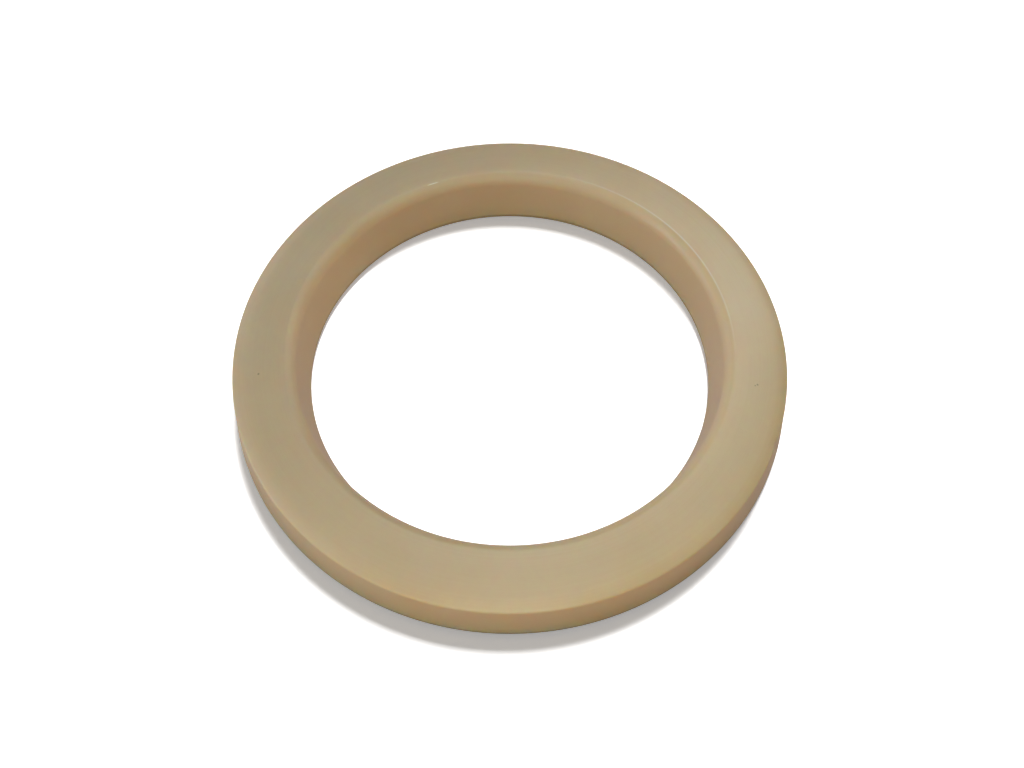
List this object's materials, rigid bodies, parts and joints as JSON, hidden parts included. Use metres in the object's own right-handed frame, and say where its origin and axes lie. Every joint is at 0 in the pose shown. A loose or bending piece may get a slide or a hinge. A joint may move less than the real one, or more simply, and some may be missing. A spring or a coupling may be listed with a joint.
{
  "type": "u cup seal",
  "caption": "One-piece ring seal of U-shaped section: a solid heel whose face falls away outwards from a flat crest, above an inner and an outer lip that flare apart round an open groove.",
  "frame": {"origin": "on the ring's axis, in the plane of the two lip tips that it lies on", "axes": "+Z along the ring's axis, from the lips to the heel; X and Y are any two square directions across the ring"},
  "size_m": [0.103, 0.103, 0.0109],
  "materials": {
    "seal_polyurethane": "satin, slightly translucent moulded polyurethane in natural amber"
  },
  "bodies": {
    "root": {"u_cup_seal": "seal_polyurethane"}
  },
  "joints": []
}
